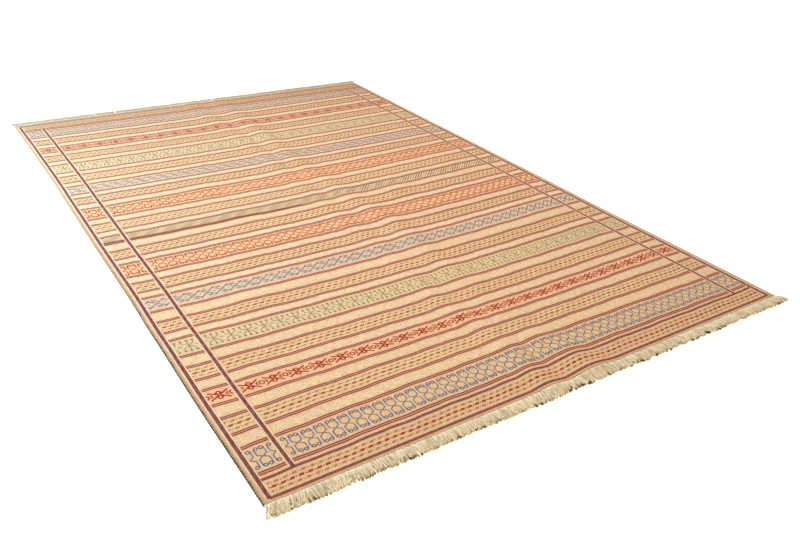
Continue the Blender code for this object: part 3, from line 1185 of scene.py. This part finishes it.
def make_guards():
    """The two-coloured twisted lines: four along the rug and two across each end.

    Some short runs of stitches, by seeded chance, show the other yarn.
    """
    rows = []
    for guard, reach in GUARDS:
        steps = np.arange(-reach, reach, GUARD_STITCH)
        upright, long = np.full_like(steps, math.pi / 2), np.full_like(steps, GUARD_STITCH)
        for side, share in ((-1.0, RED_LEFT), (1.0, RED_RIGHT)):
            for offset in (-GUARD_ROW, 0.0, GUARD_ROW):
                red = shows_red(steps, offset, GUARD_PITCH, share)
                rows.append((np.full_like(steps, side * guard + offset), steps, upright, long, red))
    steps = np.arange(-BORDER_TO, BORDER_TO, END_GUARD_STITCH)
    flat, long = np.zeros_like(steps), np.full_like(steps, END_GUARD_STITCH)
    for line in (-END_LINE, -BORDER_LINE, BORDER_LINE, END_LINE):
        for offset in END_GUARD_ROWS:
            red = shows_red(steps, offset, END_GUARD_PITCH, RED_ENDS)
            rows.append((steps, np.full_like(steps, line + offset), flat, long, red))
    across, along, turn, long, red = (np.concatenate(part) for part in zip(*rows))
    chance = np.random.default_rng(SEED_SWAPS)
    swapped = chance.uniform(size=len(red) // SWAPPED_RUN + 1) < SWAPPED_SHARE
    red = red ^ np.repeat(swapped, SWAPPED_RUN)[: len(red)]
    yarns = (("guard_red_yarn", GUARD_RED, red), ("guard_slate_yarn", GUARD_SLATE, ~red))
    pieces = []
    for seed, (name, dyes, shown) in enumerate(yarns, SEED_GUARDS):
        size = (long[shown] * GUARD_OVERLAP, GUARD_DEEP, turn[shown])
        pieces.append(new_stitches(name, wool(name, *dyes), across[shown], along[shown], *size, seed=seed))
    return pieces


def make_outlines():
    """Thin pale floats beside the guard lines, end to end."""
    rows = []
    for guard, reach in GUARDS:
        stop = reach - GUARD_HALF - OUTLINE_SHORT
        steps = np.linspace(-stop, stop, round(2 * stop / OUTLINE_LONG))
        for side in (-1, 1):
            for edge in (-1, 1):
                middle = side * guard + edge * (GUARD_HALF + OUTLINE_OFF)
                rows.append((np.full_like(steps, middle), steps))
    across, along = (np.concatenate(part) for part in zip(*rows))
    material = wool("pale_outline_wool", *OUTLINE_YARN)
    size = (OUTLINE_LONG, OUTLINE_DEEP, math.pi / 2, STITCH_LOW)
    return new_stitches("pale_outlines", material, across, along, *size, seed=SEED_OUTLINES)


def make_zigzags():
    """The cream bands' zigzags: each leg is a few long floats in line, climbing and then falling.

    A band too narrow for them flattens them by as much as it lacks.
    """
    leg = ZIGZAG_PITCH / 2
    angle = math.atan2(ZIGZAG_RISE, leg)
    share = (np.arange(ZIGZAG_FLOATS) + 0.5) / ZIGZAG_FLOATS
    rows = []
    for low, high in band_span("cream"):
        centre = (low + high) / 2
        tall = min((high - low - ZIGZAG_CLEAR) / (ZIGZAG_RISE + 2 * ZIGZAG_ROWS[-1]), 1.0)
        for start, stop in ZONES:
            legs = np.arange(math.floor((stop - start) / leg))
            margin = (stop - start - len(legs) * leg) / 2
            across = start + margin + (legs[:, None] + share) * leg
            way = np.where(legs % 2 == 0, 1.0, -1.0)[:, None]
            climb = way * (share - 0.5) * ZIGZAG_RISE
            turn = np.broadcast_to(way * angle, across.shape)
            for row in ZIGZAG_ROWS:
                rows.append((across.ravel(), (centre + (climb + row) * tall).ravel(), turn.ravel()))
    across, along, turn = (np.concatenate(part) for part in zip(*rows))
    long = math.hypot(leg, ZIGZAG_RISE) / ZIGZAG_FLOATS * ZIGZAG_SHORTER
    material = wool("pale_cream_wool", *PALE_YARN)
    size = (long, ZIGZAG_DEEP, turn, STITCH_LOW)
    return new_stitches("cream_zigzags", material, across, along, *size, seed=SEED_ZIGZAGS)


# --- Sides and ends -----------------------------------------------------------------------------


def make_overcast(name, side):
    """The wraps round one side: a section carried along the edge, swelling at each wrap.

    The swell is the square root of |sin| of the place along, once a wrap, and slants round the edge.
    It moves the section out and up by its bulge, about a mean. Painted shade darkens the wraps most
    outwards, under the edge and in their grooves, and less towards the far end.
    """
    rows = np.linspace(-LENGTH / 2, LENGTH / 2, round(LENGTH / WRAP_PITCH) * WRAP_ROWS + 1)
    offsets, heights, bulges = np.array(WRAP_SECTION).T
    chance = np.random.default_rng(SEED_WRAPS + side)
    places = np.linspace(-LENGTH / 2, LENGTH / 2, UNEVEN_PLACES)
    uneven = 1.0 + WRAP_UNEVEN * np.interp(rows, places, chance.uniform(-1, 1, UNEVEN_PLACES))
    swell = np.sqrt(np.abs(np.sin(math.pi * (rows[:, None] + offsets * WRAP_SLANT) / WRAP_PITCH)))
    swell = swell * uneven[:, None]
    x = edge_at(side, rows)[:, None] - side * (OVERCAST_WIDE - offsets)
    x = x + side * WRAP_BULGE * bulges * (swell - WRAP_MEAN)
    y = np.broadcast_to(rows[:, None], x.shape)
    z = heights * (1.0 + WRAP_TALLER * bulges * (swell - WRAP_MEAN))
    points = np.stack((x, y, z), axis=-1)
    # Painted shade: outwards, under the edge and in the grooves between wraps, lighter towards the far end
    outward = np.clip((offsets - SHADE_FROM) / SHADE_OVER, 0.0, 1.0)
    outward = outward * (UPPER_SHADE + (1.0 - UPPER_SHADE) * (heights < UNDER_HEIGHT))
    groove = np.clip(1.0 - swell, 0.0, 1.0) * (bulges > 0)
    far = np.clip((rows + FAR_REACH) / (2 * FAR_REACH), 0.0, 1.0)[:, None]
    painted_wrap_shade = np.clip(OUTER_PAINTED_SHADE * outward + GROOVE_PAINTED_SHADE * groove, 0.0, 1.0) * (1.0 - FAR_LIGHTER * far)
    faces = tube_faces(1, len(rows), len(offsets))
    if side < 0:
        faces = flipped(faces)
    material = shaded_yarn(name + "_wool", OVERCAST_YARN, OVERCAST_SHADE, "painted_wrap_shade")
    return new_piece(name, points, faces, material, (("painted_wrap_shade", "FLOAT", "value", painted_wrap_shade),))


def strand_lines(end, chance, roots, lock, layer):
    """Where the strands run: x, y, z and radius of each strand at the shares of STRAND_TABLE.

    A strand starts in the cloth's end, sinks to the floor as (1 - t)^2.2 and leans with its
    neighbours. Strands draw together into locks by t^1.5, bend one way by t^2 and sway by a sine.
    A raised layer arches over the others by half a sine, and the tips lift by t^3.
    """
    count = len(roots)
    lock_middle = np.array([roots[lock == k].mean() for k in lock])
    lock_lean = chance.normal(0.0, LOCK_LEAN, MOST_LOCKS)[lock]
    lock_bend = chance.normal(0.0, LOCK_BEND, MOST_LOCKS)[lock]
    lock_long = chance.uniform(*LOCK_LONG, MOST_LOCKS)[lock]
    slants = column(SLANT_TABLE, SLANT_COLUMNS, "near" if end < 0 else "far")
    lean = np.interp(roots, column(SLANT_TABLE, SLANT_COLUMNS, "x"), slants) + lock_lean
    lean = lean + chance.normal(0.0, STRAND_LEAN, count)
    long = FRINGE_LONG * layer["longer"] * lock_long * chance.uniform(*STRAND_LONG, count)
    long = long * (FAR_LONGER if end > 0 else 1.0)
    t = column(STRAND_TABLE, STRAND_COLUMNS, "along")
    out = long[:, None] * t
    drawn = (lock_middle - roots)[:, None] * DRAWN_IN * t**1.5
    bent = lock_bend[:, None] * out * t
    sway_size = chance.normal(0.0, STRAND_SWAY, count)[:, None]
    sway = sway_size * np.sin(math.pi * (SWAY_WAVES * t + chance.uniform(0, 1, count)[:, None])) * t
    radius = layer["thick"] / 2 * column(STRAND_TABLE, STRAND_COLUMNS, "radius")
    radius = radius * chance.uniform(*STRAND_THICK, count)[:, None]
    x = roots[:, None] + edge_at(-1, end * LENGTH / 2) + WIDTH / 2 + lean[:, None] * out
    x = x + drawn + bent + sway
    y = end * (LENGTH / 2 - ROOT_IN + out)
    root_high = lift_at(roots, np.full(count, end * LENGTH / 2)) + CLOTH_THICK * ROOT_SHARE
    sink = (1.0 - t) ** 2.2
    raised = layer["raised"] * (FAR_RAISE if end > 0 else 1.0)
    arch = raised * np.sin(math.pi * np.clip(t * ARCH_RUN, 0.0, 1.0))
    arch = arch * chance.uniform(*STRAND_ARCH, count)[:, None]
    tip = chance.uniform(*TIP_RAISED, count)[:, None] * t**3
    z = radius + FLOOR_CLEAR + (root_high[:, None] - radius).clip(0) * sink + arch + tip
    return x, y, z, radius


def strand_painted_shadow(end, chance, count, lock, layer):
    """How much painted shadow the strands take: by t^2.5 towards their tips, some locks more, and a faint
    painted shade all over, more towards the roots and more on some strands than others.

    Only the near fringe has it.
    """
    t = column(STRAND_TABLE, STRAND_COLUMNS, "along")
    # Painted shadow towards the tips and painted shade towards the roots, on the near fringe only
    shadow_share = chance.uniform(layer["shadow_from"], layer["shadow_to"], count)
    shadow_share = shadow_share * (SHADOW_LEAST + SHADOW_MORE * chance.uniform(0.0, 1.0, MOST_LOCKS)[lock] ** 2)
    root_shade = STRAND_ROOT_SHADE * chance.uniform(0.0, 1.0, count) ** 2
    painted_shadow = t**2.5 * shadow_share[:, None] + root_shade[:, None] * (ROOT_SHADE_FADE - t)
    return np.clip(painted_shadow, 0.0, 1.0) * (end < 0)


def strand_layer(end, seed, layer):
    """One layer of the fringe: every strand's rings of corners, and how much painted shadow each one takes.

    The strands are parted into locks of uneven widths, and each turns about its own line as a rope
    does. The radius follows STRAND_TABLE, to a round tip.
    """
    chance = np.random.default_rng(seed)
    half = WIDTH / 2 - OVERCAST_WIDE / 2
    roots = np.arange(-half, half, layer["pitch"])
    lock_edges = np.cumsum(chance.uniform(*LOCK_WIDE, LOCK_EDGES)) - half - LOCK_WIDE[0]
    lock = np.searchsorted(lock_edges, roots)
    x, y, z, radius = strand_lines(end, chance, roots, lock, layer)
    turned = STRAND_TURNS * math.tau * column(STRAND_TABLE, STRAND_COLUMNS, "along")
    turned = turned + chance.uniform(0, math.tau, len(roots))[:, None]
    angle = turned[:, :, None] + np.arange(STRAND_SIDES) * math.tau / STRAND_SIDES
    ring_x = x[:, :, None] + radius[:, :, None] * np.cos(angle)
    ring_y = np.broadcast_to(y[:, :, None], ring_x.shape)
    ring_z = z[:, :, None] + radius[:, :, None] * np.sin(angle)
    painted_shadow = strand_painted_shadow(end, chance, len(roots), lock, layer)
    return np.stack((ring_x, ring_y, ring_z), axis=-1), np.broadcast_to(painted_shadow[:, :, None], ring_x.shape)


def make_fringe(name, end, seed):
    """One end's fringe: strands on the floor with painted shadow, a full layer over them and a looser one
    on top.
    """
    rows = [dict(zip(LAYER_COLUMNS, row)) for row in FRINGE_LAYERS]
    layers = [strand_layer(end, seed + k, row) for k, row in enumerate(rows)]
    points, painted_shadow = (np.concatenate(part) for part in zip(*layers))
    faces = tube_faces(len(points), len(STRAND_TABLE), STRAND_SIDES)
    if end > 0:
        faces = flipped(faces)
    material = shaded_yarn(name + "_cotton", FAR_WARMED_COTTON if end > 0 else COTTON, COTTON_SHADE, "painted_shadow")
    return new_piece(name, points, faces, material, (("painted_shadow", "FLOAT", "value", painted_shadow),))


def make_root_shadows():
    """Painted shadow at each end: short upright dark stitches just inside the strands' roots, where the
    gaps between them lie in shade.
    """
    half = WIDTH / 2 - OVERCAST_WIDE - ROOT_SHADOW_CLEAR
    places = np.arange(-half, half, ROOT_SHADOW_PITCH)
    across = np.tile(places, 2)
    along = np.repeat((-1, 1), len(places)) * (LENGTH / 2 - ROOT_SHADOW_IN)
    # These dark stitches are painted shadow in the gaps between the roots
    material = wool("root_shadow_wool", *ROOT_SHADOW_YARN)
    size = (ROOT_SHADOW_LONG, ROOT_SHADOW_DEEP, 0.0, ROOT_SHADOW_HIGH)
    return new_stitches("painted_root_shadows", material, across, along, *size, seed=SEED_ROOT_SHADOWS)


# --- Stage, light and camera --------------------------------------------------------------------


def make_floor():
    """A wide pale floor, just under the rug."""
    low, high = -FLOOR_REACH, FLOOR_REACH
    points = np.array(((low, low, 0.0), (high, low, 0.0), (high, high, 0.0), (low, high, 0.0)))
    material = bpy.data.materials.new("pale_floor")
    material.use_nodes = True
    shader = material.node_tree.nodes["Principled BSDF"]
    for label, value in FLOOR_FINISH.items():
        shader.inputs[label].default_value = value
    floor = new_piece("pale_floor", points, [(0, 1, 2, 3)], material, smooth=False)
    floor.location.z = -FLOOR_DROP


def soft_light(name, place, aim, size, power, colour):
    """A square soft light at a place, turned to its aim."""
    lamp = bpy.data.lights.new(name, "AREA")
    lamp.size = size
    lamp.energy = power
    lamp.color = colour
    holder = bpy.data.objects.new(name, lamp)
    holder.location = place
    way = Vector(aim) - Vector(place)
    holder.rotation_euler = way.to_track_quat("-Z", "Y").to_euler()
    holder.visible_camera = False
    bpy.context.scene.collection.objects.link(holder)


def make_light():
    """Soft light from all round, a cool lamp low on the left and a large warm one overhead."""
    world = bpy.data.worlds.new("studio")
    world.use_nodes = True
    background = world.node_tree.nodes["Background"]
    background.inputs["Color"].default_value = WORLD_COLOUR
    background.inputs["Strength"].default_value = WORLD_STRENGTH
    bpy.context.scene.world = world
    for name, (place, aim, size, power, colour) in LAMPS.items():
        soft_light(name, place, aim, size, power, colour)
    bpy.context.scene.view_settings.view_transform = "Standard"


def make_camera():
    """The photograph's camera: looking down on the rug from beyond its near left corner."""
    level = math.cos(CAMERA_ELEVATION)
    across, along = math.sin(CAMERA_AZIMUTH) * level, -math.cos(CAMERA_AZIMUTH) * level
    back = Vector((across, along, math.sin(CAMERA_ELEVATION)))
    camera = bpy.data.objects.new("camera", bpy.data.cameras.new("camera"))
    camera.data.lens = CAMERA_LENS
    camera.data.sensor_width = SENSOR_WIDE
    camera.data.sensor_fit = "HORIZONTAL"
    camera.data.clip_end = CAMERA_SEES
    camera.rotation_mode = "QUATERNION"
    roll = Quaternion((0.0, 0.0, 1.0), CAMERA_ROLL)
    camera.rotation_quaternion = (-back).to_track_quat("-Z", "Y") @ roll
    camera.location = CAMERA_PLACE
    bpy.context.scene.collection.objects.link(camera)
    bpy.context.scene.camera = camera


# --- Putting it together ------------------------------------------------------------------------

make_camera()
make_light()
make_floor()

cloth = make_cloth()
brocade = [*make_motifs(), *make_dashes(), *make_braids(), *make_guards()]
brocade += [make_outlines(), make_zigzags(), make_root_shadows()]
wraps = {side: make_overcast(f"overcast_wraps_{side}", way) for side, way in (("left", -1), ("right", 1))}
fringes = {
    side: make_fringe(f"fringe_strands_{side}", way, seed)
    for side, way, seed in (("near", -1, SEED_NEAR), ("far", 1, SEED_FAR))
}

for piece in [cloth, *brocade]:
    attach(piece, "root")
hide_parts("kilim_cloth")
for side, piece in wraps.items():
    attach(piece, "root")
    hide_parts(f"overcast_{side}")
for side, piece in fringes.items():
    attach(piece, "root")
    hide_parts(f"fringe_{side}")
